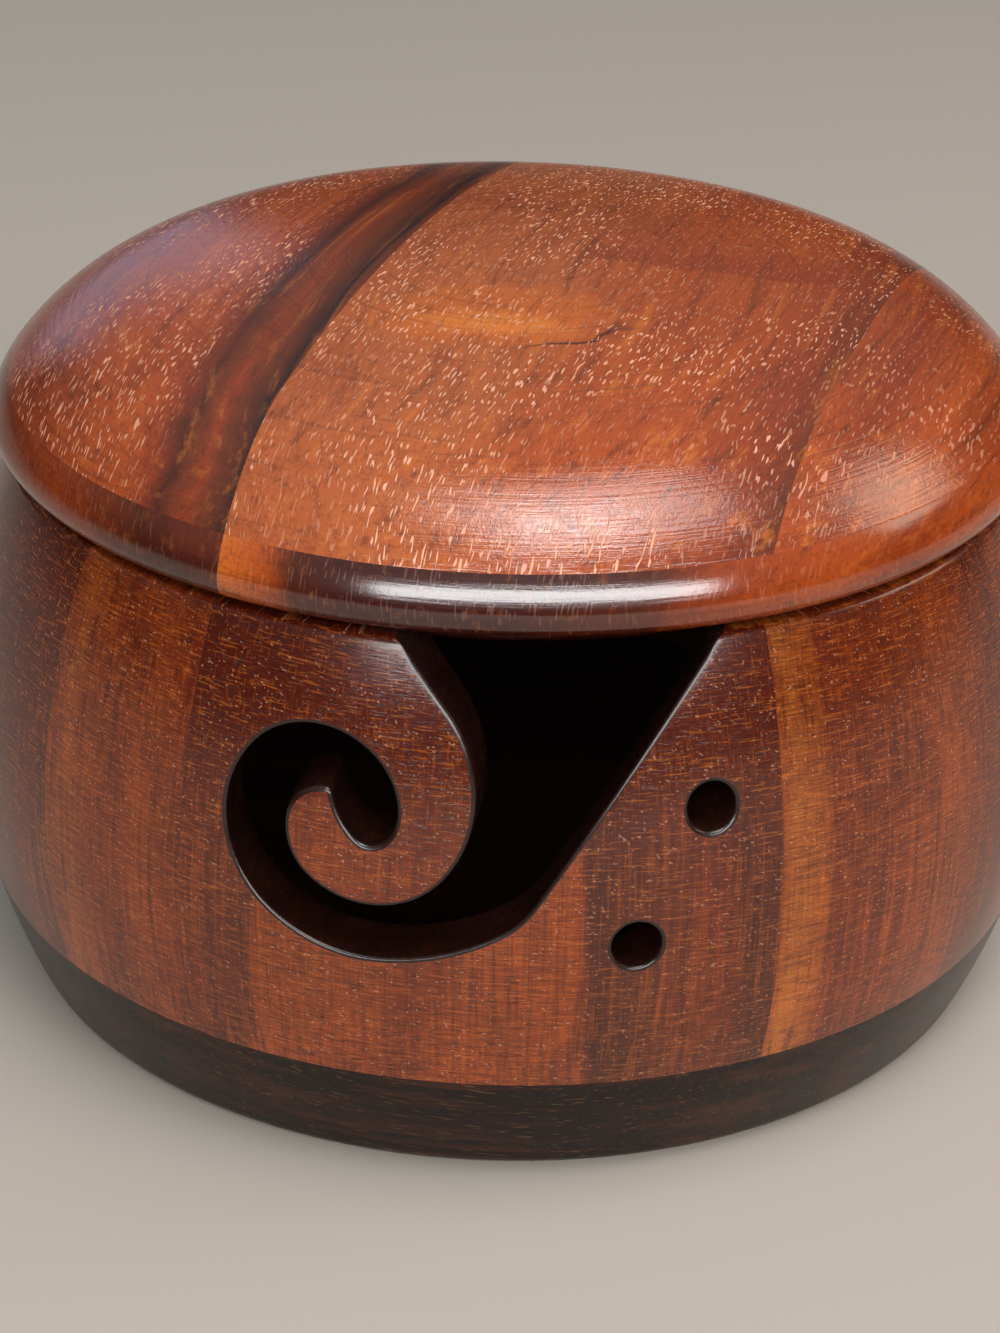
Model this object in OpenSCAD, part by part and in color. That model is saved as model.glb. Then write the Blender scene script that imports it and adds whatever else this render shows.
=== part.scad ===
// Turned wooden yarn bowl with a lift-off lid: a ring of glued staves on a base disc,
// a scroll-shaped yarn slot with two needle holes, and a lid of two glued board layers.
// The bottom of the base lies on z = 0, the turning axis is Z and the yarn slot faces -Y.
// Compass angles count from the front (-Y) and grow towards the right (+X).

/* [Bowl] */
// Widest diameter of the bowl
belly_d = 183.5; // [182:0.5:186]
// Height of the widest circle above the floor
belly_z = 46; // [44:1:48]
// Radius of the arc that the side follows from foot to rim
side_arc_r = 105; // [103:1:108]
// Height of the flat rim that the lid rests on
rim_z = 90; // [89:0.5:91]
// Thickness of the side wall
wall_t = 10.5; // [9:0.5:11.5]
// Height of the glue joint between base disc and staves
base_joint_z = 19.3; // [17:0.5:22]
// Height of the inside floor
floor_z = 10; // [8:0.5:12]
// Radius of the curve from the inside floor up into the wall
floor_corner_r = 30; // [26:1:32]
// Rounding of the foot's edge
foot_round_r = 3.5; // [2:0.5:5]
// Rounding of the rim's outer edge
rim_round_r = 1.5; // [1:0.25:2]

/* [Yarn slot] */
// Compass angle that the saw cut points to
slot_turn = -8; // [-9:0.5:-7]
// Size of the scroll against its drawn size
slot_scale = 1; // [0.98:0.01:1.01]
// Diameter of the two needle holes
hole_d = 7.5; // [6:0.5:8]
// Compass angle of the upper needle hole
upper_hole_turn = 19.7; // [18.5:0.1:20]
// Height of the upper needle hole
upper_hole_z = 65.8; // [64:0.2:68]
// Compass angle of the lower needle hole
lower_hole_turn = 12.6; // [12:0.1:15]
// Height of the lower needle hole
lower_hole_z = 45; // [43:0.5:46]

/* [Lid] */
// Widest diameter of the lid
lid_d = 170; // [168:0.5:171]
// Height of the lid's top above the floor
lid_top_z = 120.6; // [120:0.2:124]
// Radius of the shoulder between dome and edge
shoulder_r = 38; // [34:1:40]
// Height of the glue joint between the two board layers
glue_z = 101.4; // [100:0.2:103]
// Clearance between the locating ring and the mouth, on the radius
ring_gap = 0.8; // [0.5:0.1:1.5]
// Depth that the locating ring reaches into the mouth
ring_depth = 5; // [4:0.5:7]
// Turn of the lid's boards from front-to-back
board_turn = 17.3; // [15:0.1:20]
// Distance from the axis to the joint on the left, which both layers share
left_joint = -18.8; // [-25:0.2:-15]
// Distance from the axis to the right joint of the top layer
top_right_joint = 57.8; // [54:0.2:60]
// Distance from the axis to the right joint of the under layer
under_right_joint = 65.3; // [62:0.2:68]

/* [Hidden] */
$fn = 120;

// Compass angles of the stave joints, once round from the front left
joint_turn = [-51, -32, 2.5, 27, 47, 69, 95, 119, 140, 167, 190, 215, 237, 261, 285, 309];

// The side is an arc about a centre that lies beyond the axis
arc_x = belly_d / 2 - side_arc_r;
inner_arc_r = side_arc_r - wall_t;
rim_inner_round_r = 2;

// Height of a small arc's centre gives its angle on the side's arc
function arc_angle(z, r) = asin((z - belly_z) / r);
foot_round_a = arc_angle(foot_round_r, side_arc_r - foot_round_r);
rim_round_a = arc_angle(rim_z - rim_round_r, side_arc_r - rim_round_r);
rim_inner_a = arc_angle(rim_z - rim_inner_round_r, inner_arc_r + rim_inner_round_r);
corner_a = arc_angle(floor_z + floor_corner_r, inner_arc_r - floor_corner_r);
joint_outer_a = arc_angle(base_joint_z, side_arc_r);
joint_corner_a = asin((base_joint_z - floor_z - floor_corner_r) / floor_corner_r);

function on_side(r, a) = [arc_x + r * cos(a), belly_z + r * sin(a)];
foot_round_c = on_side(side_arc_r - foot_round_r, foot_round_a);
rim_round_c = on_side(side_arc_r - rim_round_r, rim_round_a);
rim_inner_c = on_side(inner_arc_r + rim_inner_round_r, rim_inner_a);
corner_c = on_side(inner_arc_r - floor_corner_r, corner_a);

// Points of an arc from angle a0 to a1; skip leaves out a first point that is there already
arc_step = 4;
function arc_points(c, r, a0, a1, skip = 0) =
    let (n = ceil(abs(a1 - a0) / arc_step))
    [for (i = [skip:n]) c + r * [cos(a0 + (a1 - a0) * i / n), sin(a0 + (a1 - a0) * i / n)]];

// Cross-section of a stave: outside, rim, inside and the joint below
stave_outline = concat(
    arc_points([arc_x, belly_z], side_arc_r, joint_outer_a, rim_round_a),
    arc_points(rim_round_c, rim_round_r, rim_round_a, 90, 1),
    arc_points(rim_inner_c, rim_inner_round_r, 90, 180 + rim_inner_a),
    arc_points([arc_x, belly_z], inner_arc_r, rim_inner_a, corner_a, 1),
    arc_points(corner_c, floor_corner_r, corner_a, joint_corner_a, 1)
);

// Cross-section of the base disc with the hollow of the floor
base_outline = concat(
    [[0, 0]],
    arc_points(foot_round_c, foot_round_r, -90, foot_round_a),
    arc_points([arc_x, belly_z], side_arc_r, foot_round_a, joint_outer_a, 1),
    arc_points(corner_c, floor_corner_r, joint_corner_a, -90),
    [[0, floor_z]]
);

// A path of stretches [turn, size]: a turn of 0 is a straight line of that length,
// any other turn is an arc of that radius, to the left when positive
function stretch_end(p, h, s, f = 1) =
    s[0] == 0
        ? p + f * s[1] * [cos(h), sin(h)]
        : p + sign(s[0]) * s[1] * [sin(h + f * s[0]) - sin(h), cos(h) - cos(h + f * s[0])];
turn_step = 9;
length_step = 6;
function arc_length(s) = abs(s[0]) * PI / 180 * s[1];
function stretch_steps(s) =
    s[0] == 0 ? 1 : ceil(max(abs(s[0]) / turn_step, arc_length(s) / length_step));
function trace(p, h, path, i = 0) =
    i == len(path)
        ? []
        : concat(
            let (n = stretch_steps(path[i]))
            [for (k = [1:n]) stretch_end(p, h, path[i], k / n)],
            trace(stretch_end(p, h, path[i]), h + path[i][0], path, i + 1)
        );

// The yarn slot, seen from the front: down the right flank, round the scroll
// into its eye, back round the tip and up the scroll's right side to the rim
slot_start = [42.1, 90.4];
slot_heading = 200;
slot_path = [
    [38, 4], [0, 43.2],
    [-28, 14.6], [-27, 39.6], [-45, 24.6], [-45, 18.2], [-45, 16.3],
    [-45, 12.5], [-45, 13.4], [-45, 11.3], [-45, 5.9], [-90, 3.3], [-35, 11.8],
    [80, 1.3], [80, 6.2], [60, 9.8], [45, 15.3], [45, 14.2], [45, 19.1], [33, 20.5],
    [0, 10.6], [34, 4]
];
slot_points = trace(slot_start, slot_heading, slot_path);
above_rim = rim_z + 10;
slot_outline = concat(
    [[slot_start[0], above_rim], slot_start],
    slot_points,
    [[slot_points[len(slot_points) - 1][0], above_rim]]
);
slot_centre = [0, 64];
cut_from = 55;
cut_to = 100;

// The lid is turned in one piece: dome, shoulder, side and a rounded edge that ends
// level, a little above the rim. Its seat stands lower and lies on the rim. A locating
// ring inside the seat goes down into the mouth, round a shallow hollow
dome_a = 10;
shoulder_a = 43;
side_a = 17;
side_r = 15.8;
edge_r = 4;
shoulder_end_a = dome_a + shoulder_a;
side_end_a = shoulder_end_a + side_a;
edge_a = 180 - side_end_a;
dome_r = (lid_d / 2 - shoulder_r * (sin(shoulder_end_a) - sin(dome_a))
    - side_r * (sin(side_end_a) - sin(shoulder_end_a)) - edge_r * (1 - sin(side_end_a))) / sin(dome_a);
edge_foot_z = lid_top_z - dome_r * (1 - cos(dome_a))
    - shoulder_r * (cos(dome_a) - cos(shoulder_end_a))
    - side_r * (cos(shoulder_end_a) - cos(side_end_a)) - edge_r * (1 + cos(side_end_a));
seat_r = 77.5;
seat_slope = 0.8;
mouth_r = rim_inner_c[0] - rim_inner_round_r;
ring_r = mouth_r - ring_gap;
ring_chamfer = 1;
ring_foot_z = rim_z - ring_depth;
hollow_r = 60;
hollow_corner_r = 9;
lid_outline = concat(
    [[0, lid_top_z]],
    trace([0, lid_top_z], 0, [
        [-dome_a, dome_r], [-shoulder_a, shoulder_r], [-side_a, side_r], [-edge_a, edge_r]
    ]),
    [[seat_r + seat_slope, edge_foot_z], [seat_r, rim_z]],
    [[ring_r, rim_z], [ring_r, ring_foot_z + ring_chamfer], [ring_r - ring_chamfer, ring_foot_z]],
    [[hollow_r, ring_foot_z]],
    trace([hollow_r, ring_foot_z], 90, [[90, hollow_corner_r]]),
    [[0, ring_foot_z + hollow_corner_r]]
);

// Turns a shape from the front (-Y) to a compass angle
module face_to(turn) {
    rotate([0, 0, turn]) children();
}

// Everything that a saw cut along slot_turn takes out of the wall
module yarn_slot() {
    face_to(slot_turn)
        rotate([90, 0, 0])
            translate([0, 0, cut_from])
                linear_extrude(height = cut_to - cut_from)
                    translate(slot_centre)
                        scale(slot_scale)
                            translate(-slot_centre)
                                polygon(slot_outline);
}

// A hole drilled level through the wall, towards the axis
module needle_hole(turn, z) {
    face_to(turn)
        translate([0, -cut_from, z])
            rotate([90, 0, 0])
                cylinder(d = hole_d, h = cut_to - cut_from);
}

// One stave between joints i and i + 1
module stave_blank(i) {
    rotate([0, 0, joint_turn[i] - 90])
        rotate_extrude(angle = joint_turn[i + 1] - joint_turn[i])
            polygon(stave_outline);
}

module stave(i, tint) {
    color(tint) stave_blank(i);
}

module stave_scroll() {
    color("#7a3418") difference() {
        stave_blank(1);
        yarn_slot();
    }
}

module stave_needle_holes() {
    color("#6e3520") difference() {
        stave_blank(2);
        yarn_slot();
        needle_hole(upper_hole_turn, upper_hole_z);
        needle_hole(lower_hole_turn, lower_hole_z);
    }
}

module base_disc() {
    color("#3f2a20") rotate_extrude() polygon(base_outline);
}

// Part of the turned lid between two joints and two heights
slack = 1;
module lid_board(x0, x1, z0, z1) {
    intersection() {
        rotate_extrude() intersection() {
            polygon(lid_outline);
            translate([0, z0]) square([lid_d, z1 - z0]);
        }
        rotate([0, 0, -board_turn])
            translate([x0, -lid_d, z0 - slack])
                cube([x1 - x0, 2 * lid_d, z1 - z0 + 2 * slack]);
    }
}

module top_board(x0, x1, tint) {
    color(tint) lid_board(x0, x1, glue_z, lid_top_z + slack);
}

module under_board(x0, x1, tint) {
    color(tint) lid_board(x0, x1, ring_foot_z - slack, glue_z);
}

base_disc();
stave(0, "#8a4420");  // stave_front_left
stave_scroll();
stave_needle_holes();
stave(3, "#8c4a22");  // stave_front_right
stave(4, "#9a5428");  // stave_right_1
stave(5, "#6a3018");  // stave_right_2
stave(6, "#84401e");  // stave_right_3
stave(7, "#5c2a18");  // stave_back_1
stave(8, "#8e4a24");  // stave_back_2
stave(9, "#74381e");  // stave_back_3
stave(10, "#944e26");  // stave_back_4
stave(11, "#62301c");  // stave_back_5
stave(12, "#884420");  // stave_left_1
stave(13, "#703620");  // stave_left_2
stave(14, "#4e2418");  // stave_left_3
top_board(-lid_d, left_joint, "#7c3a20");  // lid_top_left
top_board(left_joint, top_right_joint, "#a05428");  // lid_top_middle
top_board(top_right_joint, lid_d, "#86401f");  // lid_top_right
under_board(-lid_d, left_joint, "#4a2018");  // lid_under_left
under_board(left_joint, under_right_joint, "#5e2c1e");  // lid_under_middle
under_board(under_right_joint, lid_d, "#8c4520");  // lid_under_right
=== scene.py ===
# %% [markdown]
# # A turned wooden yarn bowl
#
# The bowl is built like a small barrel: staves of unlike wood are glued edge to edge on a base
# board, and the whole ring is then turned on a lathe, so that one smooth curve runs over every
# joint. A scroll-shaped slot is sawn through the front for the yarn, two holes are drilled for
# needles, and a domed lid of glued boards rests on the rim. This lesson builds the same pieces
# over the exact frame of the bowl and gives each its own wood.

import math

import bmesh
import bpy
import numpy as np
from mathutils import Matrix, Vector
from mathutils.geometry import delaunay_2d_cdt


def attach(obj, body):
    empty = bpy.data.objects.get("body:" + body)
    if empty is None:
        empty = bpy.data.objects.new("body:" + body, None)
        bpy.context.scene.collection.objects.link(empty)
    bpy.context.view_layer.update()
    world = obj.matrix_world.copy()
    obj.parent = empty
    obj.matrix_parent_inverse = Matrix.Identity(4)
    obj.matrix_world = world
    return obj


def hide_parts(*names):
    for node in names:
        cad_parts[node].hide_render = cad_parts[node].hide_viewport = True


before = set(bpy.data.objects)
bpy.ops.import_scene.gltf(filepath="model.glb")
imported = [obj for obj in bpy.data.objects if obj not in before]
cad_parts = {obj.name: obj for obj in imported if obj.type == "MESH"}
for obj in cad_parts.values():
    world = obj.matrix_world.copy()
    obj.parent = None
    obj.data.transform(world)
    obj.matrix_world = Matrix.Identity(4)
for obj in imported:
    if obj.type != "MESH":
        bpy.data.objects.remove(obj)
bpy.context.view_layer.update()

# %% [markdown]
# ## The camera
#
# The picture was taken from the front with a long lens, looking down a little. Focal length,
# place and tilt were worked out from the ellipses that the rim, the lid and the base draw in
# the picture. A camera object can be aimed with a constraint, but writing its matrix from the
# three axes keeps every angle exact.

# %% Set up the camera
MM = 0.001
PICTURE_HEIGHT = 1333
FOCAL_PIXELS = 3549.07
SENSOR = 36.0


def camera_axes(pitch, yaw, roll):
    """Right, up and forward of a camera that looks down by pitch, in degrees."""
    pitch, yaw, roll = (math.radians(a) for a in (pitch, yaw, roll))
    forward = Vector((math.sin(yaw) * math.cos(pitch), math.cos(yaw) * math.cos(pitch), -math.sin(pitch)))
    right = Vector((math.cos(yaw), -math.sin(yaw), 0))
    up = right.cross(forward)
    return (
        math.cos(roll) * right + math.sin(roll) * up,
        math.cos(roll) * up - math.sin(roll) * right,
        forward,
    )


right, up, forward = camera_axes(pitch=26.4263, yaw=-0.1535, roll=1.3683)
lens = bpy.data.cameras.new("camera")
lens.sensor_width = SENSOR
lens.lens = FOCAL_PIXELS * SENSOR / PICTURE_HEIGHT
lens.clip_start = 0.05
camera = bpy.data.objects.new("camera", lens)
turned_by = Matrix((right, up, -forward)).transposed().to_4x4()
camera.matrix_world = Matrix.Translation((0, -0.539444, 0.313997)) @ turned_by
bpy.context.scene.collection.objects.link(camera)
bpy.context.scene.camera = camera
print(f"lens {lens.lens:.1f} mm")

# %% [markdown]
# ## The turned curves
#
# On the lathe one template gives the whole outside: an arc of 105 mm radius whose centre lies a
# little beyond the axis. The inside follows it 10.5 mm deeper and runs into the floor over a
# curve of 30 mm. The same numbers as in the exact frame are used here, with many more steps, so
# that the lacquer's reflections run smoothly.

# %% Measure out the bowl's cross-section
BELLY_R, BELLY_Z, SIDE_ARC_R = 91.75, 46.0, 105.0
RIM_Z, WALL, JOINT_Z, FLOOR_Z = 90.0, 10.5, 19.3, 10.0
CORNER_R, FOOT_ROUND, RIM_ROUND, RIM_INNER_ROUND = 30.0, 3.5, 1.5, 2.0
SIDE_CENTRE = np.array([BELLY_R - SIDE_ARC_R, BELLY_Z])
INNER_ARC_R = SIDE_ARC_R - WALL


def along(angle):
    """The direction of an angle in degrees, or a row of them."""
    angle = np.radians(angle)
    return np.stack([np.cos(angle), np.sin(angle)], axis=-1)


def arc(centre, radius, start, end, step):
    """Points of an arc, at most step apart, both ends included."""
    count = max(4, math.ceil(math.radians(abs(end - start)) * radius / step))
    return np.asarray(centre) + radius * along(np.linspace(start, end, count + 1))


def rise(height, radius):
    """The angle on the side's arc at which a height is reached."""
    return math.degrees(math.asin((height - BELLY_Z) / radius))


foot_a = rise(FOOT_ROUND, SIDE_ARC_R - FOOT_ROUND)
joint_a = rise(JOINT_Z, SIDE_ARC_R)
rim_a = rise(RIM_Z - RIM_ROUND, SIDE_ARC_R - RIM_ROUND)
inner_rim_a = rise(RIM_Z - RIM_INNER_ROUND, INNER_ARC_R + RIM_INNER_ROUND)
corner_a = rise(FLOOR_Z + CORNER_R, INNER_ARC_R - CORNER_R)
corner_joint_a = math.degrees(math.asin((JOINT_Z - FLOOR_Z - CORNER_R) / CORNER_R))
foot_centre = SIDE_CENTRE + (SIDE_ARC_R - FOOT_ROUND) * along(foot_a)
rim_centre = SIDE_CENTRE + (SIDE_ARC_R - RIM_ROUND) * along(rim_a)
inner_rim_centre = SIDE_CENTRE + (INNER_ARC_R + RIM_INNER_ROUND) * along(inner_rim_a)
corner_centre = SIDE_CENTRE + (INNER_ARC_R - CORNER_R) * along(corner_a)


def chain(*stretches):
    """Joins stretches of points, without the points that two of them share."""
    points = np.concatenate(stretches)
    steps = np.linalg.norm(np.diff(points, axis=0), axis=1)
    return points[np.concatenate([[True], steps > 1e-6])]


def stave_section(step, fine):
    """Outside, rim and inside of the wall, from the base joint up and down again."""
    rim_flat = np.linspace(rim_centre + [0, RIM_ROUND], inner_rim_centre + [0, RIM_INNER_ROUND], 9)
    return chain(
        arc(SIDE_CENTRE, SIDE_ARC_R, joint_a, rim_a, step),
        arc(rim_centre, RIM_ROUND, rim_a, 90, fine),
        rim_flat,
        arc(inner_rim_centre, RIM_INNER_ROUND, 90, 180 + inner_rim_a, fine),
        arc(SIDE_CENTRE, INNER_ARC_R, inner_rim_a, corner_a, step),
        arc(corner_centre, CORNER_R, corner_a, corner_joint_a, step),
    )


STEP = 1.1
FINE_STEP = 0.25
wall_rows = stave_section(STEP, FINE_STEP)
print(f"wall section: {len(wall_rows)} points, {wall_rows[:, 0].max() * 2:.1f} mm across")

# %% [markdown]
# ## Wood, as a recipe of nodes
#
# Every finish here is worked out from the place of a point on the object, so a board's figure
# goes through it as it does in real wood. Shader maths is easier to read as an expression than
# as a web of nodes, so a small class wraps an output and lets `+`, `-`, `*` and `/` add the
# Math nodes.

# %% Shader maths as expressions


class Wire:
    """An output of a material's node tree that Python's operators work on."""

    def __init__(self, recipe, output):
        self.recipe = recipe
        self.output = output

    def maths(self, operation, *values):
        return self.recipe.add("ShaderNodeMath", {"operation": operation}, dict(enumerate(values)))

    def __add__(self, other):
        return self.maths("ADD", self, other)

    def __sub__(self, other):
        return self.maths("SUBTRACT", self, other)

    def __rsub__(self, other):
        return self.maths("SUBTRACT", other, self)

    def __mul__(self, other):
        return self.maths("MULTIPLY", self, other)

    def __truediv__(self, other):
        return self.maths("DIVIDE", self, other)

    __radd__ = __add__
    __rmul__ = __mul__

    def power(self, exponent):
        return self.maths("POWER", self, exponent)

    def between(self, low, high):
        """0 below low, 1 above high and smooth in the middle; high may be the lower one."""
        return self.recipe.add(
            "ShaderNodeMapRange",
            {"interpolation_type": "SMOOTHSTEP", "clamp": True},
            {"Value": self, "From Min": low, "From Max": high, "To Min": 0.0, "To Max": 1.0},
        )


class Recipe:
    """A material under construction."""

    def __init__(self, name):
        self.start(bpy.data.materials.new(name))

    def start(self, owner):
        """Clears the nodes of a material or world and works on them."""
        self.material = owner
        owner.use_nodes = True
        self.tree = owner.node_tree
        self.tree.nodes.clear()

    def add(self, kind, settings=None, inputs=None, output=0):
        """Adds a node: settings first, then values or wires for its sockets.

        Gives the wire of one output, or of every output when output is None."""
        node = self.tree.nodes.new(kind)
        for name, value in (settings or {}).items():
            if name == "stops":
                self.set_stops(node.color_ramp, value)
            else:
                setattr(node, name, value)
        for name, value in (inputs or {}).items():
            if isinstance(value, Wire):
                self.tree.links.new(value.output, node.inputs[name])
            else:
                node.inputs[name].default_value = value
        wires = [Wire(self, socket) for socket in node.outputs]
        return wires[output] if wires and output is not None else wires

    @staticmethod
    def set_stops(ramp, stops):
        while len(ramp.elements) < len(stops):
            ramp.elements.new(0.5)
        for element, (place, colour) in zip(ramp.elements, stops):
            element.position = place
            element.color = colour

    def join(self, x, y, z):
        return self.add("ShaderNodeCombineXYZ", None, {0: x, 1: y, 2: z})

    def mix(self, mask, a, b):
        """Mixes two colours by a mask."""
        return self.add("ShaderNodeMix", {"data_type": "RGBA"}, {0: mask, 6: a, 7: b}, output=2)

    def noise(self, vector, detail=2.0, roughness=0.5, warp=0.0):
        """Smooth random values around 0.5."""
        numbers = {"Scale": 1.0, "Detail": detail, "Roughness": roughness, "Distortion": warp}
        return self.add("ShaderNodeTexNoise", None, {"Vector": vector, **numbers})

    def place(self, turn=0.0):
        """X, Y and Z of a point in millimetres, in a frame turned about the bowl's axis."""
        spot = self.add("ShaderNodeTexCoord", None, None, output=3)
        spot = self.add(
            "ShaderNodeMapping",
            None,
            {"Vector": spot, "Rotation": (0, 0, math.radians(turn)), "Scale": (1 / MM, 1 / MM, 1 / MM)},
        )
        return self.add("ShaderNodeSeparateXYZ", None, {0: spot}, output=None)

    def lacquer(self, colour, roughness, height, depth=0.00005, refraction=1.55):
        """Polished wood; height is its relief and depth the relief's size in metres.

        A film of lacquer refracts light more than bare wood, and so it mirrors more."""
        bump = self.add("ShaderNodeBump", None, {"Strength": 1.0, "Distance": depth, "Height": height})
        sockets = {"Base Color": colour, "Roughness": roughness, "IOR": refraction, "Normal": bump}
        wood = self.add("ShaderNodeBsdfPrincipled", None, sockets)
        self.add("ShaderNodeOutputMaterial", None, {"Surface": wood})
        return self.material


# %% [markdown]
# ## Tones of the wood
#
# Rosewood and its kin run from almost black heartwood to golden brown. Colours are noted the
# way a paint chart gives them and turned into the linear light values that a shader needs.

# %% Name the tones


def tone(chart):
    """A chart colour such as #a85a2a as linear red, green, blue and alpha."""
    parts = [int(chart[i : i + 2], 16) / 255 for i in (1, 3, 5)]
    return tuple(p / 12.92 if p <= 0.04045 else ((p + 0.055) / 1.055) ** 2.4 for p in parts) + (1.0,)


BLACK = tone("#150806")
PLUM = tone("#34100c")
DARK = tone("#42190b")
UMBER = tone("#5e270e")
RED = tone("#7c2f10")
RUSSET = tone("#984115")
ORANGE = tone("#b1571c")
GOLD = tone("#c76f28")
PALE = tone("#dca05c")
# Painted shade for the top of the staves, next to the lid
PAINTED_TOP_SHADE = tone("#430f04")
# Painted shade for the inside of the bowl and the sawn faces
PAINTED_SHADE = tone("#1d0c06")
PORE = tone("#e0a17e")
TAN = tone("#9f5026")
print(f"red light: {BLACK[0]:.3f} of the darkest tone, {PORE[0]:.3f} of the palest")

# %% [markdown]
# ## Stave wood
#
# Seen from the front, the colour bands of a stave run up and down, with soft or slanted borders,
# and very fine dark lines cross them level, where the tool has cut the fibres. So the recipe
# unrolls the wall: it turns x and y into a distance across the stave, counted from the stave's
# middle, and lets z run up. A ramp lays out the broad bands, noise stretched along z gives the
# streaks, and noise stretched across gives the level lines and the pores. Towards the rim the
# colour is painted darker and redder: painted shade, darkest next to the lid. The inside is
# painted nearly black as painted shade; it also gets less polish, so it is rougher.

# %% Write the stave finish
UNROLLED_R = 90.0


def inside_mask(radius, z):
    """1 on the inside of the bowl: closer to the side's arc centre than the wall's middle."""
    out, rise_up = radius - float(SIDE_CENTRE[0]), z - BELLY_Z
    return (out * out + rise_up * rise_up).power(0.5).between(SIDE_ARC_R - 4, SIDE_ARC_R - 8)


def stave_wood(name, middle, half_width, bands, seed, slant=0.0, top_shade=0.75, pores=0.5):
    """Wood for a stave: bands are stops of colour from its left edge to its right edge."""
    wood = Recipe(name)
    x, y, z = wood.place(turn=-middle)
    across = wood.add("ShaderNodeMath", {"operation": "ARCTAN2"}, {0: x, 1: 0 - y}) * UNROLLED_R
    depth = (x * x + y * y).power(0.5)
    width = 2 * half_width * math.radians(UNROLLED_R)
    shifted = across + (z - BELLY_Z) * slant

    sway = wood.noise(wood.join(across * 0.03, z * 0.012, depth * 0.02 + seed), detail=1.0) - 0.5
    ripple = wood.noise(wood.join(across * 0.5, z * 0.02, seed * 1.7), detail=3.0, roughness=0.6) - 0.5
    position = shifted / width + 0.5 + sway * 0.16 + ripple * 0.045
    colour = wood.add("ShaderNodeValToRGB", {"stops": bands}, {"Fac": position})

    spot = wood.join(across * 0.85, z * 0.018, depth * 0.35 + seed * 3.1)
    streaks = wood.noise(spot, detail=3.0, roughness=0.62)
    colour = wood.mix(streaks.between(0.50, 0.32) * 0.6, colour, DARK)
    colour = wood.mix(streaks.between(0.52, 0.70) * 0.45, colour, ORANGE)
    cloud = wood.noise(wood.join(across * 0.05, z * 0.045, depth * 0.05 + seed * 5.3), detail=2.0)
    colour = wood.mix(cloud.between(0.25, 0.72) * 0.5, colour, UMBER)
    # Painted shade: the staves are mixed darker and redder towards the rim, next to the lid
    colour = wood.mix(z.between(30.0, 84.0) * top_shade, colour, PAINTED_TOP_SHADE)

    lines = wood.noise(wood.join(across * 0.07, z * 3.0, seed + depth * 0.01), detail=3.0, roughness=0.75)
    patches = wood.noise(wood.join(across * 0.05, z * 0.06, seed * 2.3), detail=1.0).between(0.38, 0.62)
    colour = wood.mix(lines.between(0.50, 0.38) * (0.1 + patches * 0.18), colour, PLUM)
    spot = wood.join(across * 2.4, z * 0.06, depth * 1.2 + seed * 4.1)
    grain = wood.noise(spot, detail=2.0, roughness=0.6)
    colour = wood.mix(grain.between(0.50, 0.34) * 0.28, colour, PLUM)
    colour = wood.mix(grain.between(0.54, 0.70) * 0.2, colour, ORANGE)
    spot = wood.join(across * 0.3, z * 3.4 + across * 0.12, seed * 5.9)
    tool = wood.noise(spot, detail=2.0, roughness=0.6)
    colour = wood.mix(tool.between(0.52, 0.36) * 0.42, colour, PLUM)
    colour = wood.mix(tool.between(0.56, 0.68) * 0.24, colour, GOLD)
    specks = wood.noise(wood.join(across * 1.6, z * 2.2 + across * 0.5, seed * 8.3), detail=1.0)
    colour = wood.mix(specks.between(0.66, 0.74) * 0.3, colour, PORE)
    dashes = wood.noise(wood.join(across * 0.42, z * 4.6 + across * 0.16, seed * 7.0), detail=1.0)
    pits = dashes.between(0.63, 0.70) * pores
    colour = wood.mix(pits * 0.7, colour, BLACK)
    inside = inside_mask(depth, z)
    # Painted shade: the inside of the bowl is mixed towards near-black; its added roughness below is real
    colour = wood.mix(inside * 0.8, colour, PAINTED_SHADE)

    grit = wood.noise(wood.join(across * 2.0, z * 2.0, depth * 2.0), detail=1.0)
    roughness = 0.15 + lines * 0.05 + grit * 0.05 + inside * 0.3
    return wood.lacquer(colour, roughness, lines * 0.5 + tool * 0.6 - pits * 0.6, depth=0.00003)


print("stave finish: unrolled at", UNROLLED_R, "mm")

# %% [markdown]
# ## The ring of staves
#
# All staves have the same cross-section and differ only in where they start and end, which is a
# rule, so Geometry Nodes make them: the section is swept along an arc about the axis and its
# two ends are closed. A Spin modifier could do it too, but the sweep takes the start and end
# angle as plain inputs. Compass angles count from the front and grow to the right.

# %% Build the sweep


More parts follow.
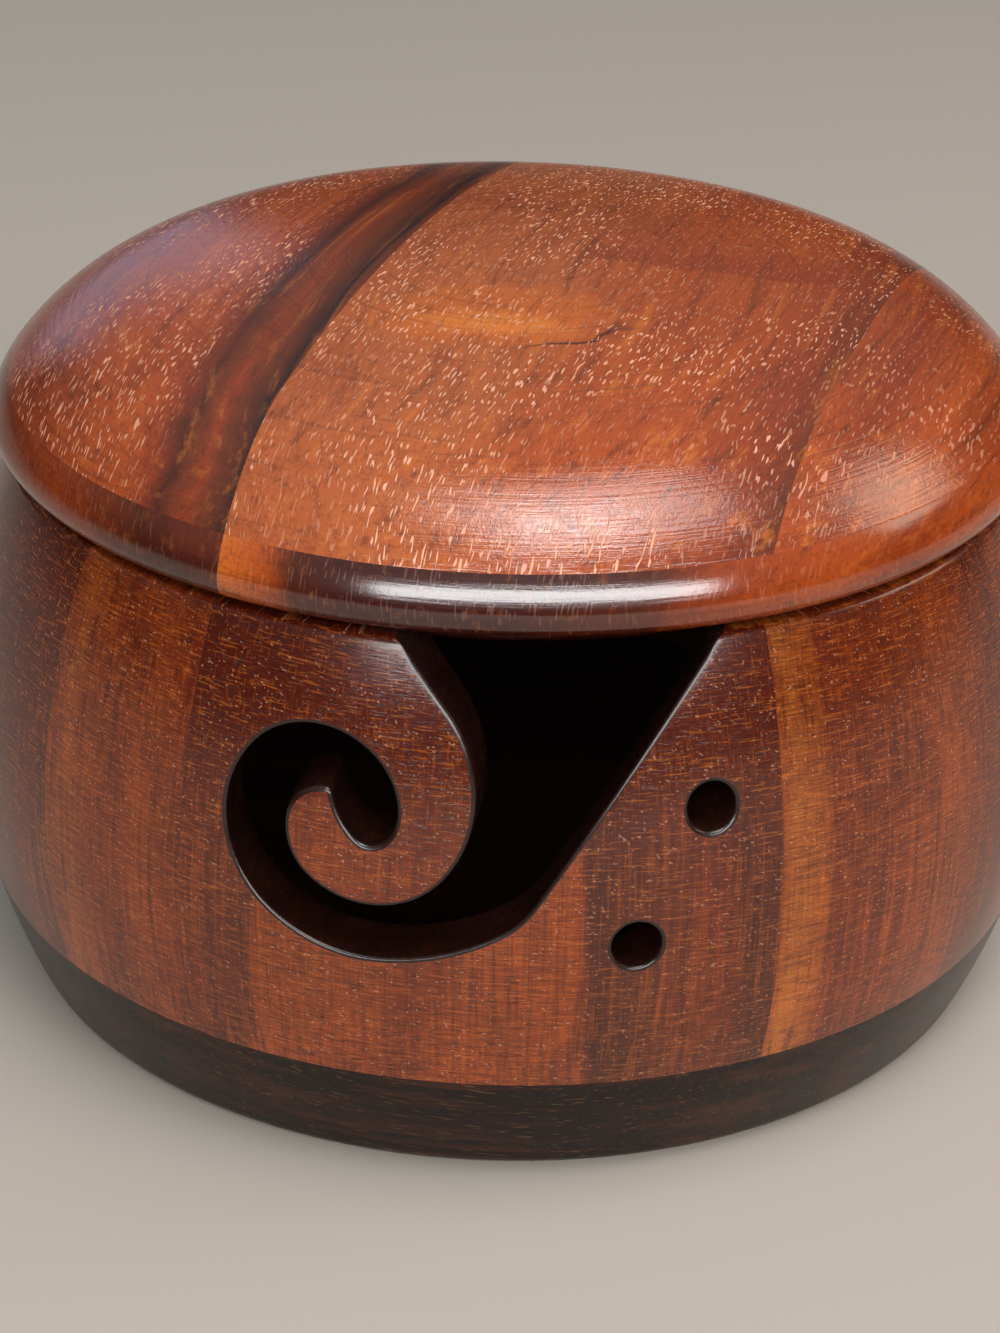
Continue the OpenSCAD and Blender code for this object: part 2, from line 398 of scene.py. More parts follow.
def sweep_tree():
    """Geometry Nodes that sweep a closed section about Z between two angles."""
    tree = bpy.data.node_groups.new("turned_stave", "GeometryNodeTree")
    sockets = {}
    tree.interface.new_socket("Section", in_out="INPUT", socket_type="NodeSocketGeometry")
    for label, kind in (("From", "Float"), ("Sweep", "Float"), ("Steps", "Int"), ("Wood", "Material")):
        item = tree.interface.new_socket(label, in_out="INPUT", socket_type="NodeSocket" + kind)
        sockets[label] = item.identifier
    tree.interface.new_socket("Stave", in_out="OUTPUT", socket_type="NodeSocketGeometry")

    def node(kind, settings=None, inputs=None):
        made = tree.nodes.new(kind)
        for key, value in (settings or {}).items():
            setattr(made, key, value)
        for key, value in (inputs or {}).items():
            if isinstance(value, bpy.types.NodeSocket):
                tree.links.new(value, made.inputs[key])
            else:
                made.inputs[key].default_value = value
        return made

    given = node("NodeGroupInput").outputs
    section = node("GeometryNodeMeshToCurve", None, {"Mesh": given["Section"]}).outputs[0]
    path = node(
        "GeometryNodeCurveArc",
        {"mode": "RADIUS"},
        {
            "Resolution": given["Steps"],
            "Radius": BELLY_R * MM,
            "Start Angle": given["From"],
            "Sweep Angle": given["Sweep"],
        },
    ).outputs[0]
    path = node("GeometryNodeSetCurveNormal", {"mode": "Z_UP"}, {"Curve": path}).outputs[0]
    curves = {"Curve": path, "Profile Curve": section, "Fill Caps": True}
    solid = node("GeometryNodeCurveToMesh", None, curves).outputs[0]
    smooth = node("GeometryNodeSetShadeSmooth", None, {"Geometry": solid}).outputs[0]
    real = node("GeometryNodeRealizeInstances", None, {"Geometry": smooth}).outputs[0]
    wooden = node("GeometryNodeSetMaterial", None, {"Geometry": real, "Material": given["Wood"]}).outputs[0]
    node("NodeGroupOutput", None, {"Stave": wooden})
    return tree, sockets


stave_tree, stave_inputs = sweep_tree()
print("sweep inputs:", list(stave_inputs))

# %% Helpers that finish a mesh
SHARP = math.radians(38)
MERGE_WITHIN = 2e-6


def finish_mesh(mesh):
    """Merges doubles, makes faces point outwards and keeps true corners crisp."""
    work = bmesh.new()
    work.from_mesh(mesh)
    bmesh.ops.remove_doubles(work, verts=work.verts, dist=MERGE_WITHIN)
    bmesh.ops.recalc_face_normals(work, faces=work.faces)
    if work.calc_volume(signed=True) < 0:
        bmesh.ops.reverse_faces(work, faces=work.faces)
    open_edges = sum(not e.is_manifold for e in work.edges)
    for face in work.faces:
        face.smooth = True
    work.to_mesh(mesh)
    work.free()
    mesh.set_sharp_from_angle(angle=SHARP)
    return open_edges


def bake(holder):
    """Turns an object's evaluated modifiers into its plain mesh."""
    graph = bpy.context.evaluated_depsgraph_get()
    mesh = bpy.data.meshes.new_from_object(holder.evaluated_get(graph))
    holder.modifiers.clear()
    holder.data = mesh
    return mesh


def settle(piece, body, node):
    """Hangs a piece on its body's empty and hides the exact part that it takes the place of."""
    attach(piece, body)
    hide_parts(node)


# %% Sweep a plain stave


def swept_stave(name, start, end, wood):
    """A plain stave between two compass angles."""
    section = bpy.data.meshes.new(name)
    corners = [((r - BELLY_R) * MM, -z * MM, 0) for r, z in wall_rows]
    count = len(corners)
    section.from_pydata(corners, [(i, (i + 1) % count) for i in range(count)], [])
    piece = bpy.data.objects.new(name, section)
    bpy.context.scene.collection.objects.link(piece)
    sweep = piece.modifiers.new("sweep", "NODES")
    sweep.node_group = stave_tree
    sweep[stave_inputs["From"]] = math.radians(start - 90)
    sweep[stave_inputs["Sweep"]] = math.radians(end - start)
    sweep[stave_inputs["Steps"]] = math.ceil(math.radians(end - start) * BELLY_R / STEP) + 1
    sweep[stave_inputs["Wood"]] = wood
    mesh = bake(piece)
    gaps = finish_mesh(mesh)
    settle(piece, "bowl", name)
    print(f"{name}: {start} to {end} degrees, {len(mesh.polygons)} faces, {gaps} open edges")
    return piece


# Name, start and end, seed, how strong the painted shade at the top is, and bands from left to right
plain_staves = [
    ("stave_front_left", -51, -32, 3.1, 0.5,
     [(0.0, RUSSET), (0.14, ORANGE), (0.28, RUSSET), (0.52, RED), (0.7, RUSSET), (1.0, RED)]),
    ("stave_front_right", 27, 47, 8.4, 0.5,
     [(0.0, ORANGE), (0.05, GOLD), (0.22, ORANGE), (0.28, RED), (0.62, RED), (1.0, RUSSET)]),
    ("stave_right_1", 47, 69, 12.9, 0.45,
     [(0.0, RUSSET), (0.10, RUSSET), (0.3, RED), (0.55, UMBER), (0.75, RUSSET), (1.0, RED)]),
    ("stave_right_2", 69, 95, 17.2, 0.4,
     [(0.0, RED), (0.3, UMBER), (0.5, RED), (0.8, RUSSET), (1.0, RED)]),
    ("stave_right_3", 95, 119, 21.7, 0.4,
     [(0.0, ORANGE), (0.25, RUSSET), (0.5, ORANGE), (0.8, RUSSET), (1.0, RED)]),
    ("stave_back_1", 119, 140, 26.3, 0.4,
     [(0.0, DARK), (0.3, UMBER), (0.6, DARK), (1.0, RED)]),
    ("stave_back_2", 140, 167, 31.9, 0.4,
     [(0.0, RUSSET), (0.3, ORANGE), (0.5, RED), (0.75, ORANGE), (1.0, RUSSET)]),
    ("stave_back_3", 167, 190, 36.2, 0.4,
     [(0.0, RED), (0.35, UMBER), (0.6, RED), (1.0, RUSSET)]),
    ("stave_back_4", 190, 215, 40.8, 0.4,
     [(0.0, GOLD), (0.2, ORANGE), (0.55, RUSSET), (0.8, ORANGE), (1.0, RED)]),
    ("stave_back_5", 215, 237, 45.5, 0.4,
     [(0.0, UMBER), (0.4, DARK), (0.7, UMBER), (1.0, RED)]),
    ("stave_left_1", 237, 261, 50.1, 0.4,
     [(0.0, RUSSET), (0.2, ORANGE), (0.5, RED), (0.8, ORANGE), (1.0, RUSSET)]),
    ("stave_left_2", 261, 285, 55.6, 0.45,
     [(0.0, RED), (0.3, RUSSET), (0.6, UMBER), (1.0, RED)]),
    ("stave_left_3", 285, 309, 60.3, 0.8,
     [(0.0, UMBER), (0.35, RED), (0.6, UMBER), (0.8, RED), (1.0, UMBER)]),
]
for name, start, end, seed, top_shade, bands in plain_staves:
    wood = stave_wood(name, (start + end) / 2, (end - start) / 2, bands, seed, top_shade=top_shade)
    swept_stave(name, start, end, wood)

# %% [markdown]
# ## The scroll
#
# The slot is sawn straight through the wall, along one direction that points a little left of
# the front. Its outline is a chain of lines and arcs, given as turn and size: it runs down the
# right flank, round under the scroll, up its left side and into the eye, and back round the tip
# of the scroll to the rim. A Boolean could cut it, but a glossy wall shows every sliver that a
# Boolean leaves. So the wall is unrolled to a flat sheet instead, the outline is drawn on the
# sheet, the sheet is meshed around it, and it is rolled up again.

# %% Draw the slot's outline
SLOT_TURN = -8.0
SLOT_STEP = 0.55
slot_start, slot_heading = np.array([42.1, 90.4]), 200.0
slot_path = [
    (38, 4), (0, 43.2),
    (-28, 14.6), (-27, 39.6), (-45, 24.6), (-45, 18.2), (-45, 16.3),
    (-45, 12.5), (-45, 13.4), (-45, 11.3), (-45, 5.9), (-90, 3.3), (-35, 11.8),
    (80, 1.3), (80, 6.2), (60, 9.8), (45, 15.3), (45, 14.2), (45, 19.1), (33, 20.5),
    (0, 10.6), (34, 4),
]
MOST_TURN = 8


def trace(spot, heading, path, step):
    """Walks a path of (turn, size): a turn of 0 is a line, any other turn an arc."""
    spots, headings = [spot], [heading]
    for turn, size in path:
        length = size if turn == 0 else math.radians(abs(turn)) * size
        count = max(2, math.ceil(length / step), math.ceil(abs(turn) / MOST_TURN))
        for k in range(1, count + 1):
            here = heading + turn * k / count
            if turn == 0:
                spots.append(spot + along(heading) * size * k / count)
            else:
                swing = along(here - 90) - along(heading - 90)
                spots.append(spot + math.copysign(size, turn) * swing)
            headings.append(here)
        spot, heading = spots[-1], heading + turn
    return np.array(spots), np.array(headings)


slot_points, slot_headings = trace(slot_start, slot_heading, slot_path, SLOT_STEP)
into_wood = along(slot_headings + 90)
print(f"slot outline: {len(slot_points)} points, from {slot_points[0]} to {slot_points[-1].round(1)}")

# %% Unroll the wall
rail = stave_section(step=0.05, fine=0.02)
rail_length = np.concatenate([[0], np.cumsum(np.linalg.norm(np.diff(rail, axis=0), axis=1))])
on_rim = np.flatnonzero(rail[:, 1] > RIM_Z - 1e-9)
rim_out, rim_in = int(on_rim[0]), int(on_rim[-1])


def reach(height, inside):
    """How far along the section a height comes, on the outside or on the inside."""
    if inside:
        return np.interp(height, rail[rim_in:][::-1, 1], rail_length[rim_in:][::-1])
    return np.interp(height, rail[: rim_out + 1, 1], rail_length[: rim_out + 1])


def unrolled(u, z, turn, inside):
    """A point of a cut along a compass direction, as a spot on the flat sheet."""
    t = reach(z, inside)
    r = np.interp(t, rail_length, rail[:, 0])
    return np.stack([(math.radians(turn) + np.arcsin(u / r)) * UNROLLED_R, t], axis=-1)


def rolled(sheet):
    """Spots on the flat sheet, back on the wall in millimetres."""
    a = sheet[:, 0] / UNROLLED_R
    r = np.interp(sheet[:, 1], rail_length, rail[:, 0])
    z = np.interp(sheet[:, 1], rail_length, rail[:, 1])
    return np.stack([r * np.sin(a), -r * np.cos(a), z], axis=-1)


print(f"unrolled wall: {rail_length[-1]:.1f} mm from outside to inside")

# %% [markdown]
# A sawn edge is never left sharp where yarn runs over it, so each cut gets a small rounding, in
# rings: a ring at angle phi stands `EDGE * (1 - sin(phi))` back from the cut and
# `EDGE * (1 - cos(phi))` below the surface.

# %% Make the rings of a cut
EDGE = 0.7
INNER_EDGE = 0.6 * EDGE
RIM_FADE = 2.5
RINGS = 5


def cut_rings(points, outward, turn, inside):
    """Rings of points in millimetres, from the surface into the cut, and the first on the sheet."""
    edge = (INNER_EDGE if inside else EDGE) * np.clip((RIM_Z - points[:, 1]) / RIM_FADE, 0, 1)
    frame_turn = math.radians(turn)
    through = np.array([math.sin(frame_turn), -math.cos(frame_turn), 0.0]) * (1 if inside else -1)
    rings, sheets = [], []
    for k in range(RINGS + 1):
        phi = math.pi / 2 * k / RINGS
        spots = points + outward * (edge * (1 - math.sin(phi)))[:, None]
        spots[:, 1] = np.minimum(spots[:, 1], RIM_Z)
        sheets.append(unrolled(spots[:, 0], spots[:, 1], turn, inside))
        rings.append(rolled(sheets[-1]) + through * (edge * (1 - math.cos(phi)))[:, None])
    return rings, sheets[0]


def top_crossing(points, step):
    """Where the outline crosses the rim's height, from its start (step 1) or end (step -1)."""
    for i in range(len(points))[::step]:
        a, b = points[i], points[i + step]
        if a[1] >= RIM_Z > b[1]:
            f = (a[1] - RIM_Z) / (a[1] - b[1])
            return i, a + (b - a) * f
    raise ValueError("the outline doesn't cross the rim")


first_i, first_spot = top_crossing(slot_points, 1)
last_i, last_spot = top_crossing(slot_points, -1)
cut_points = np.vstack([first_spot, slot_points[first_i + 1 : last_i], last_spot])
cut_outward = into_wood[first_i : last_i + 1]
cut_points[0, 1] = cut_points[-1, 1] = RIM_Z
print(f"the slot opens in the rim from u = {last_spot[0]:.1f} to {first_spot[0]:.1f} mm")

# %% [markdown]
# The sheet is now meshed: a constrained Delaunay triangulation keeps every point of the outlines
# and fills the rest with the same rows and columns that the plain staves have, so that the edges
# of the neighbours meet point for point.

# %% Mesh the sheet around the cuts
FRONT_FROM, FRONT_JOINT, FRONT_TO = -32.0, 2.5, 27.0
HOLES = [(19.7, 65.8), (12.6, 45.0)]
HOLE_R = 3.75
HOLE_STEPS = 48
RIM_STEPS = 10
CLEARANCE = 0.35


def inside_loop(spots, loop):
    """Which spots lie inside a closed loop, by counting crossings."""
    x, y = spots[:, 0][:, None], spots[:, 1][:, None]
    ax, ay = loop[:, 0], loop[:, 1]
    bx, by = np.roll(ax, -1), np.roll(ay, -1)
    level = (ay > y) != (by > y)
    with np.errstate(divide="ignore", invalid="ignore"):
        hit = x < (bx - ax) * (y - ay) / (by - ay) + ax
    return np.sum(level & hit, axis=1) % 2 == 1


def rim_line(u):
    """Points straight across the rim's flat at one u, from outside to inside."""
    frame_turn = math.radians(SLOT_TURN)
    side = np.array([math.cos(frame_turn), math.sin(frame_turn)])
    out = np.array([math.sin(frame_turn), -math.cos(frame_turn)])
    w0 = math.sqrt(rail[rim_out, 0] ** 2 - u * u)
    w1 = math.sqrt(rail[rim_in, 0] ** 2 - u * u)
    flat = u * side + np.linspace(w0, w1, RIM_STEPS + 1)[:, None] * out
    r = np.linalg.norm(flat, axis=1)
    a = np.arctan2(flat[:, 0], -flat[:, 1])
    t = rail_length[rim_out] + rail[rim_out, 0] - r
    return np.stack([a * UNROLLED_R, t], axis=-1)


outer_rings, outer_first = cut_rings(cut_points, cut_outward, SLOT_TURN, False)
inner_rings, inner_first = cut_rings(cut_points, cut_outward, SLOT_TURN, True)
left_line, right_line = (rim_line(cut_points[end, 0])[1:-1] for end in (-1, 0))
slot_loop = np.vstack([outer_first, left_line, inner_first[::-1], right_line[::-1]])
hole_angles = np.linspace(0, 360, HOLE_STEPS + 1)[:-1]
hole_cuts = []
for turn, height in HOLES:
    ring = np.array([0, height]) + HOLE_R * along(hole_angles)
    hole_cuts.append([cut_rings(ring, along(hole_angles), turn, inside) for inside in (False, True)])
loops = [slot_loop] + [side[1] for cut in hole_cuts for side in cut]
print("loops on the sheet:", [len(loop) for loop in loops])

# %% Fill the sheet with triangles
rows = np.concatenate([[0], np.cumsum(np.linalg.norm(np.diff(wall_rows, axis=0), axis=1))])
rows = rows * rail_length[-1] / rows[-1]


def stave_columns(start, end):
    """Angles of the columns that a plain stave from start to end would have."""
    return np.linspace(start, end, math.ceil(math.radians(end - start) * BELLY_R / STEP) + 1)


left_angles, right_angles = stave_columns(FRONT_FROM, FRONT_JOINT), stave_columns(FRONT_JOINT, FRONT_TO)
columns = np.radians(np.concatenate([left_angles, right_angles[1:]])) * UNROLLED_R


def clear_of_loops(spots):
    """Spots that are outside all loops and not close to one."""
    keep = np.ones(len(spots), bool)
    for loop in loops:
        keep &= ~inside_loop(spots, loop)
        for i in range(0, len(loop), 200):
            part = loop[i : i + 200]
            keep &= np.min(np.linalg.norm(spots[:, None] - part[None], axis=2), axis=1) > CLEARANCE
    return keep


grid = np.stack(np.meshgrid(columns, rows), axis=-1)
frame_mask = np.zeros(grid.shape[:2], bool)
frame_mask[[0, -1], :] = True
frame_mask[:, [0, -1]] = True
border = grid[frame_mask]
filling = grid[~frame_mask]
filling = filling[clear_of_loops(filling)]
sheet_points = np.vstack([border, filling] + loops)
edges, start = [], len(border) + len(filling)
for loop in loops:
    edges += [(start + i, start + (i + 1) % len(loop)) for i in range(len(loop))]
    start += len(loop)
flat, _, triangles, _, _, _ = delaunay_2d_cdt([Vector(p) for p in sheet_points], edges, [], 0, 1e-5)
flat = np.array([tuple(p) for p in flat])
triangles = np.array([t for t in triangles if len(t) == 3])
centres = flat[triangles].mean(axis=1)
kept = np.ones(len(triangles), bool)
for loop in loops:
    kept &= ~inside_loop(centres, loop)
triangles = triangles[kept]
print(f"sheet: {len(sheet_points)} points, {len(triangles)} triangles")

# %% Roll the sheet up and close the wall


def ring_faces(start_a, start_b, count, closed):
    """Quads between two rings of points."""
    pairs = [(i, (i + 1) % count) for i in range(count if closed else count - 1)]
    return [(start_a + i, start_a + k, start_b + k, start_b + i) for i, k in pairs]


vertices = [rolled(flat)]
faces = [tuple(int(i) for i in t) for t in triangles]
skins = [0] * len(faces)
used = len(flat)


def add_rings(rings, closed, skin):
    """Adds rings of points and the quads between them."""
    global used
    count = len(rings[0])
    for k, ring in enumerate(rings):
        vertices.append(ring)
        if k:
            quads = ring_faces(used - count, used, count, closed)
            faces.extend(quads)
            skins.extend([skin] * len(quads))
        used += count


def cut_wall(outer, inner, steps):
    """Rings straight through the wall between the two rounded edges."""
    parts = np.linspace(0, 1, steps + 1)
    return [outer + (inner - outer) * f for f in parts]


slot_cut = [(outer_rings, inner_rings, False)]
for outer, inner, closed in slot_cut + [(c[0][0], c[1][0], True) for c in hole_cuts]:
    add_rings(outer, closed, 1)
    add_rings(cut_wall(outer[-1], inner[-1], RIM_STEPS), closed, 1)
    add_rings(inner[::-1], closed, 1)

bottom = [rolled(np.stack([columns, np.full(len(columns), t)], axis=-1)) for t in (0, rail_length[-1])]
add_rings(bottom, False, 0)
for column in (columns[0], columns[-1]):
    end = rolled(np.stack([np.full(len(rows), column), rows], axis=-1))
    vertices.append(end)
    faces.append(tuple(range(used, used + len(end))))
    skins.append(0)
    used += len(end)

front = bpy.data.meshes.new("front_wall")
front.from_pydata((np.vstack(vertices) * MM).tolist(), [], faces)
front.polygons.foreach_set("material_index", np.array(skins, dtype=np.int32))
print("front wall:", len(front.polygons), "faces,", finish_mesh(front), "open edges")

# %% [markdown]
# The scroll and the needle holes are on two staves. A plane through the axis parts them at their
# joint, and each half gets its end face back.

# %% Part the front wall at its joint


def keep_side(mesh, name, point, normal):
    """A copy of a closed mesh cut by a plane: what the normal points away from stays."""
    work = bmesh.new()
    work.from_mesh(mesh)
    everything = work.verts[:] + work.edges[:] + work.faces[:]
    cut = bmesh.ops.bisect_plane(
        work, geom=everything, dist=1e-7, plane_co=point, plane_no=normal, clear_outer=True
    )
    rim = [e for e in cut["geom_cut"] if isinstance(e, bmesh.types.BMEdge) and e.is_boundary]
    bmesh.ops.holes_fill(work, edges=rim, sides=0)
    part = bpy.data.meshes.new(name)
    work.to_mesh(part)
    work.free()
    return part


def front_stave(name, sign, wood, cut_wood):
    """The left or right half of the front wall, with its own woods."""
    a = math.radians(FRONT_JOINT)
    normal = Vector((math.cos(a), math.sin(a), 0)) * sign
    mesh = keep_side(front, name, (0, 0, 0), normal)
    mesh.materials.append(wood)
    mesh.materials.append(cut_wood)
    gaps = finish_mesh(mesh)
    piece = bpy.data.objects.new(name, mesh)
    bpy.context.scene.collection.objects.link(piece)
    settle(piece, "bowl", name)
    print(f"{name}: {len(mesh.polygons)} faces, {gaps} open edges")
    return piece


def cut_face_wood(name, middle):
    """End grain and long grain laid bare by the saw, painted nearly black as painted shade inside the slot
    and the holes.
    """
    wood = Recipe(name)
    x, y, z = wood.place(turn=-middle)
    fibres = wood.noise(wood.join(x * 0.9, y * 0.5, z * 0.9), detail=3.0, roughness=0.6)
    blotches = wood.noise(wood.join(x * 0.12, y * 0.12, z * 0.12), detail=2.0)
    # Painted shade: the cut faces are near-black, with blacker blotches
    colour = wood.mix(fibres.between(0.4, 0.8) * 0.5, PAINTED_SHADE, PLUM)
    colour = wood.mix(blotches.between(0.45, 0.65) * 0.6, colour, BLACK)
    return wood.lacquer(colour, 0.2 + fibres * 0.15, fibres, depth=0.00002)


scroll_bands = [
    (0.0, RED), (0.22, UMBER), (0.27, RUSSET), (0.5, RUSSET), (0.7, RED), (0.85, RUSSET), (1.0, RUSSET),
]
needle_bands = [
    (0.0, RUSSET), (0.20, RUSSET), (0.25, DARK), (0.5, UMBER), (0.72, RED), (0.86, DARK), (1.0, UMBER),
]
scroll_middle, scroll_half = (FRONT_FROM + FRONT_JOINT) / 2, (FRONT_JOINT - FRONT_FROM) / 2
needle_middle, needle_half = (FRONT_JOINT + FRONT_TO) / 2, (FRONT_TO - FRONT_JOINT) / 2
scroll_wood = stave_wood(
    "stave_scroll", scroll_middle, scroll_half, scroll_bands, 70.4, slant=-0.1, top_shade=0.95, pores=1.0
)
needle_wood = stave_wood(
    "stave_needle_holes", needle_middle, needle_half, needle_bands, 80.9, slant=0.05, top_shade=0.9
)
front_stave("stave_scroll", 1, scroll_wood, cut_face_wood("scroll_cut", scroll_middle))
front_stave("stave_needle_holes", -1, needle_wood, cut_face_wood("needle_cut", needle_middle))

# %% [markdown]
# ## Turned solids
#
# Base and lid are full turns of a section. The section's first and last points lie on the axis,
# so their rings shrink to a point there, and merging closes both poles.

# %% Turn a section on the axis


def turned(section, count):
    """A closed mesh of revolution from a section that starts and ends on the axis."""
    angles = np.linspace(0, 2 * math.pi, count + 1)[:-1]
    r, z = section[:, 0][:, None], section[:, 1][:, None]
    points = np.stack([r * np.cos(angles), r * np.sin(angles), z + 0 * angles], axis=-1)
    n = len(section)
    quads = []
    for i in range(n - 1):
        quads += ring_faces(i * count, (i + 1) * count, count, True)
    mesh = bpy.data.meshes.new("turned")
    mesh.from_pydata((points.reshape(-1, 3) * MM).tolist(), [], quads)
    return mesh, finish_mesh(mesh)


def to_axis(end, start, step=1.6):
    """Points of a level line between the axis and a place."""
    count = math.ceil(abs(end[0] - start[0]) / step)
    return np.linspace(start, end, count + 1)


joint_outside = SIDE_CENTRE + SIDE_ARC_R * along(joint_a)
base_section = chain(
    to_axis(foot_centre - [0, FOOT_ROUND], (0, 0)),
    arc(foot_centre, FOOT_ROUND, -90, foot_a, 0.4),
    arc(SIDE_CENTRE, SIDE_ARC_R, foot_a, joint_a, STEP),
    np.linspace(joint_outside, corner_centre + CORNER_R * along(corner_joint_a), 8),
    arc(corner_centre, CORNER_R, corner_joint_a, -90, STEP),
    to_axis((0, FLOOR_Z), corner_centre - [0, CORNER_R]),
)
BASE_FACETS = 480
base_mesh, base_gaps = turned(base_section, BASE_FACETS)
print(f"base: {len(base_mesh.polygons)} faces, {base_gaps} open edges")

# %% [markdown]
# ## The base board
#
# The base is one dark board. Its grain runs across the front, so the fibres follow x, with faint
# paler lines that slant down where the curve of the side cuts the board's growth rings.

# %% Finish the base


def base_wood():
    wood = Recipe("base_disc")
    x, y, z = wood.place(turn=4.0)
    sway = wood.noise(wood.join(x * 0.02, y * 0.03, z * 0.05), detail=2.0) - 0.5
    spot = wood.join(x * 0.012 + sway, y * 0.16, z * 0.45 + x * 0.01)
    rings = wood.noise(spot, detail=3.5, roughness=0.6)
    colour = wood.add(
        "ShaderNodeValToRGB",
        {"stops": [(0.3, BLACK), (0.46, BLACK), (0.56, tone("#2a110a")), (0.7, tone("#3c1d11"))]},
        {"Fac": rings},
    )
    fibres = wood.noise(wood.join(x * 0.05, y * 1.4, z * 2.6), detail=2.0, roughness=0.6)
    colour = wood.mix(fibres.between(0.5, 0.34) * 0.6, colour, BLACK)
    dashes = wood.noise(wood.join(x * 0.25, y * 2.0, z * 4.0 + x * 0.5), detail=1.0)
    colour = wood.mix(dashes.between(0.64, 0.72) * 0.12, colour, PALE)
    radius = (x * x + y * y).power(0.5)
    inside = inside_mask(radius, z)
    # Painted shade: the bowl's floor inside is mixed towards near-black
    colour = wood.mix(inside * 0.7, colour, PAINTED_SHADE)
    roughness = 0.24 + fibres * 0.1 + inside * 0.25
    return wood.lacquer(colour, roughness, fibres, depth=0.00001, refraction=1.38)


base_mesh.name = "base_disc"
base_mesh.materials.append(base_wood())
base = bpy.data.objects.new("base_disc", base_mesh)
bpy.context.scene.collection.objects.link(base)
settle(base, "bowl", "base_disc")

# %% [markdown]
# ## The lid
#
# The lid is turned from a block of two glued layers, three boards each. It is made the way the
# turner makes it: first the whole shape in one piece, then each board is what lies between its
# glue joints. The dome, the shoulder, the side and the rounded edge are arcs that run into each
# other. The edge ends level, a little above the rim, a lower seat lies on the rim, and inside
# the seat a ring goes down into the bowl's mouth.

# %% Turn the lid
LID_R, LID_TOP, GLUE_Z = 85.0, 120.6, 101.4
DOME_A, SHOULDER_A, SHOULDER_R, SIDE_A, SIDE_R, EDGE_R = 10.0, 43.0, 38.0, 17.0, 15.8, 4.0
SEAT_R, SEAT_SLOPE = 77.5, 0.8
RING_GAP, RING_DEPTH, RING_CHAMFER, HOLLOW_R, HOLLOW_CORNER = 0.8, 5.0, 1.0, 60.0, 9.0
LID_STEP, LID_FACETS = 0.9, 540


def sine(angle):
    return math.sin(math.radians(angle))


side_end_a = DOME_A + SHOULDER_A + SIDE_A
sin_dome, sin_shoulder, sin_side = sine(DOME_A), sine(DOME_A + SHOULDER_A), sine(side_end_a)
shoulder_width = SHOULDER_R * (sin_shoulder - sin_dome)
side_width = SIDE_R * (sin_side - sin_shoulder)
dome_r = (LID_R - (shoulder_width + side_width + EDGE_R * (1 - sin_side))) / sin_dome
lid_path = [(-DOME_A, dome_r), (-SHOULDER_A, SHOULDER_R), (-SIDE_A, SIDE_R), (side_end_a - 180, EDGE_R)]
lid_curve, _ = trace(np.array([0.0, LID_TOP]), 0.0, lid_path, LID_STEP)
ring_r = inner_rim_centre[0] - RIM_INNER_ROUND - RING_GAP
ring_z = RIM_Z - RING_DEPTH
hollow_curve, _ = trace(np.array([HOLLOW_R, ring_z]), 90.0, [(90, HOLLOW_CORNER)], LID_STEP)
edge_end = lid_curve[-1]
lid_section = chain(
    lid_curve,
    np.linspace(edge_end, (SEAT_R + SEAT_SLOPE, edge_end[1]), 4),
    np.linspace((SEAT_R, RIM_Z), (ring_r, RIM_Z), 5),
    np.array([(ring_r, ring_z + RING_CHAMFER), (ring_r - RING_CHAMFER, ring_z)]),
    np.linspace((ring_r - RING_CHAMFER, ring_z), (HOLLOW_R, ring_z), 6),
    hollow_curve,
    to_axis((0, hollow_curve[-1][1]), hollow_curve[-1]),
)
lid_mesh, lid_gaps = turned(lid_section, LID_FACETS)
print(f"lid: dome radius {dome_r:.0f} mm, {len(lid_mesh.polygons)} faces, {lid_gaps} open edges")

# %% [markdown]
# ## Lid wood
#
# On the lid the boards lie flat, so their growth rings open into broad, flowing figure. Each
# board's recipe works in the board's own frame, across and along the grain. Slow noise that is
# long along the grain makes the figure, finer noise the fibres, and short pale dashes the pores
# that polish has filled. Over all boards, the lathe has left very fine rings about the axis.

# %% Write the lid finish
BOARD_TURN = 17.3


def ellipse(wood, across, along_grain, centre, size, lean=0.0):
    """How far a point lies from the centre of an ellipse, 1 on its line."""
    u = across - centre[0]
    v = along_grain - centre[1]
    c, s = math.cos(math.radians(lean)), math.sin(math.radians(lean))
    p = (u * c + v * s) / size[0]
    q = (v * c - u * s) / size[1]
    return (p * p + q * q).power(0.5)


